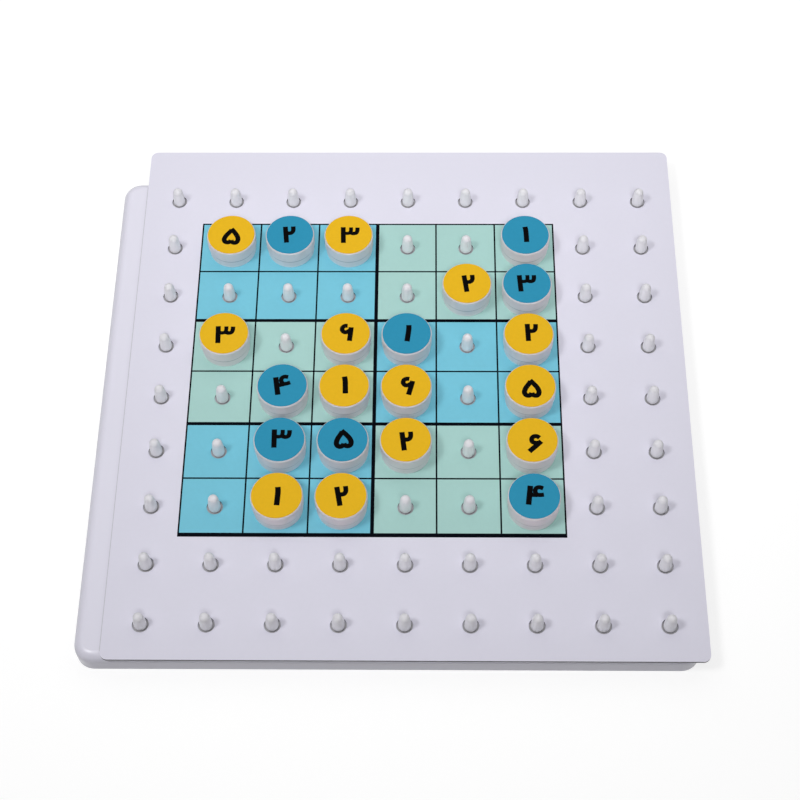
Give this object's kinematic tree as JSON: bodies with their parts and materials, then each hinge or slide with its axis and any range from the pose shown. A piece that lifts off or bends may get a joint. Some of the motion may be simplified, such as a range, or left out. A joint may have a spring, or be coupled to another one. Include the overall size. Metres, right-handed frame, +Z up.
{
  "type": "sudoku board",
  "caption": "Number puzzle board: white moulded tray with rows of pegs, a printed grid card dropped over them, and round numbered caps that slip onto the pegs.",
  "frame": {"origin": "under the middle peg, on the plane that the tray stands on", "axes": "+Z up, +X to the right of a player, +Y towards the back edge of the board"},
  "size_m": [0.2398, 0.2418, 0.0208],
  "materials": {
    "tray_plastic": "glossy moulded white plastic",
    "peg_plastic": "glossy moulded white plastic",
    "printed_card": "white card, printed and film coated",
    "cap_plastic": "milky moulded plastic, satin",
    "label_yellow": "printed sticker, satin",
    "label_blue": "printed sticker, satin"
  },
  "bodies": {
    "base": {"base_tray": "tray_plastic", "pegs": "peg_plastic"},
    "card": {"overlay_card": "printed_card"},
    "piece_r1c1": {"cap_r1c1": "cap_plastic", "label_r1c1": "label_yellow"},
    "piece_r1c2": {"cap_r1c2": "cap_plastic", "label_r1c2": "label_blue"},
    "piece_r1c3": {"cap_r1c3": "cap_plastic", "label_r1c3": "label_yellow"},
    "piece_r1c6": {"cap_r1c6": "cap_plastic", "label_r1c6": "label_blue"},
    "piece_r2c5": {"cap_r2c5": "cap_plastic", "label_r2c5": "label_yellow"},
    "piece_r2c6": {"cap_r2c6": "cap_plastic", "label_r2c6": "label_blue"},
    "piece_r3c1": {"cap_r3c1": "cap_plastic", "label_r3c1": "label_yellow"},
    "piece_r3c3": {"cap_r3c3": "cap_plastic", "label_r3c3": "label_yellow"},
    "piece_r3c4": {"cap_r3c4": "cap_plastic", "label_r3c4": "label_blue"},
    "piece_r3c6": {"cap_r3c6": "cap_plastic", "label_r3c6": "label_yellow"},
    "piece_r4c2": {"cap_r4c2": "cap_plastic", "label_r4c2": "label_blue"},
    "piece_r4c3": {"cap_r4c3": "cap_plastic", "label_r4c3": "label_yellow"},
    "piece_r4c4": {"cap_r4c4": "cap_plastic", "label_r4c4": "label_yellow"},
    "piece_r4c6": {"cap_r4c6": "cap_plastic", "label_r4c6": "label_yellow"},
    "piece_r5c2": {"cap_r5c2": "cap_plastic", "label_r5c2": "label_blue"},
    "piece_r5c3": {"cap_r5c3": "cap_plastic", "label_r5c3": "label_blue"},
    "piece_r5c4": {"cap_r5c4": "cap_plastic", "label_r5c4": "label_yellow"},
    "piece_r5c6": {"cap_r5c6": "cap_plastic", "label_r5c6": "label_yellow"},
    "piece_r6c2": {"cap_r6c2": "cap_plastic", "label_r6c2": "label_yellow"},
    "piece_r6c3": {"cap_r6c3": "cap_plastic", "label_r6c3": "label_yellow"},
    "piece_r6c6": {"cap_r6c6": "cap_plastic", "label_r6c6": "label_blue"}
  },
  "joints": [
    {"name": "card_lift", "type": "slide", "parent": "base", "child": "card", "axis": [0, 0, 1], "range_m": [0, 0.03]},
    {"name": "lift_r1c1", "type": "slide", "parent": "card", "child": "piece_r1c1", "axis": [0, 0, 1], "range_m": [0, 0.025]},
    {"name": "lift_r1c2", "type": "slide", "parent": "card", "child": "piece_r1c2", "axis": [0, 0, 1], "range_m": [0, 0.025]},
    {"name": "lift_r1c3", "type": "slide", "parent": "card", "child": "piece_r1c3", "axis": [0, 0, 1], "range_m": [0, 0.025]},
    {"name": "lift_r1c6", "type": "slide", "parent": "card", "child": "piece_r1c6", "axis": [0, 0, 1], "range_m": [0, 0.025]},
    {"name": "lift_r2c5", "type": "slide", "parent": "card", "child": "piece_r2c5", "axis": [0, 0, 1], "range_m": [0, 0.025]},
    {"name": "lift_r2c6", "type": "slide", "parent": "card", "child": "piece_r2c6", "axis": [0, 0, 1], "range_m": [0, 0.025]},
    {"name": "lift_r3c1", "type": "slide", "parent": "card", "child": "piece_r3c1", "axis": [0, 0, 1], "range_m": [0, 0.025]},
    {"name": "lift_r3c3", "type": "slide", "parent": "card", "child": "piece_r3c3", "axis": [0, 0, 1], "range_m": [0, 0.025]},
    {"name": "lift_r3c4", "type": "slide", "parent": "card", "child": "piece_r3c4", "axis": [0, 0, 1], "range_m": [0, 0.025]},
    {"name": "lift_r3c6", "type": "slide", "parent": "card", "child": "piece_r3c6", "axis": [0, 0, 1], "range_m": [0, 0.025]},
    {"name": "lift_r4c2", "type": "slide", "parent": "card", "child": "piece_r4c2", "axis": [0, 0, 1], "range_m": [0, 0.025]},
    {"name": "lift_r4c3", "type": "slide", "parent": "card", "child": "piece_r4c3", "axis": [0, 0, 1], "range_m": [0, 0.025]},
    {"name": "lift_r4c4", "type": "slide", "parent": "card", "child": "piece_r4c4", "axis": [0, 0, 1], "range_m": [0, 0.025]},
    {"name": "lift_r4c6", "type": "slide", "parent": "card", "child": "piece_r4c6", "axis": [0, 0, 1], "range_m": [0, 0.025]},
    {"name": "lift_r5c2", "type": "slide", "parent": "card", "child": "piece_r5c2", "axis": [0, 0, 1], "range_m": [0, 0.025]},
    {"name": "lift_r5c3", "type": "slide", "parent": "card", "child": "piece_r5c3", "axis": [0, 0, 1], "range_m": [0, 0.025]},
    {"name": "lift_r5c4", "type": "slide", "parent": "card", "child": "piece_r5c4", "axis": [0, 0, 1], "range_m": [0, 0.025]},
    {"name": "lift_r5c6", "type": "slide", "parent": "card", "child": "piece_r5c6", "axis": [0, 0, 1], "range_m": [0, 0.025]},
    {"name": "lift_r6c2", "type": "slide", "parent": "card", "child": "piece_r6c2", "axis": [0, 0, 1], "range_m": [0, 0.025]},
    {"name": "lift_r6c3", "type": "slide", "parent": "card", "child": "piece_r6c3", "axis": [0, 0, 1], "range_m": [0, 0.025]},
    {"name": "lift_r6c6", "type": "slide", "parent": "card", "child": "piece_r6c6", "axis": [0, 0, 1], "range_m": [0, 0.025]}
  ]
}
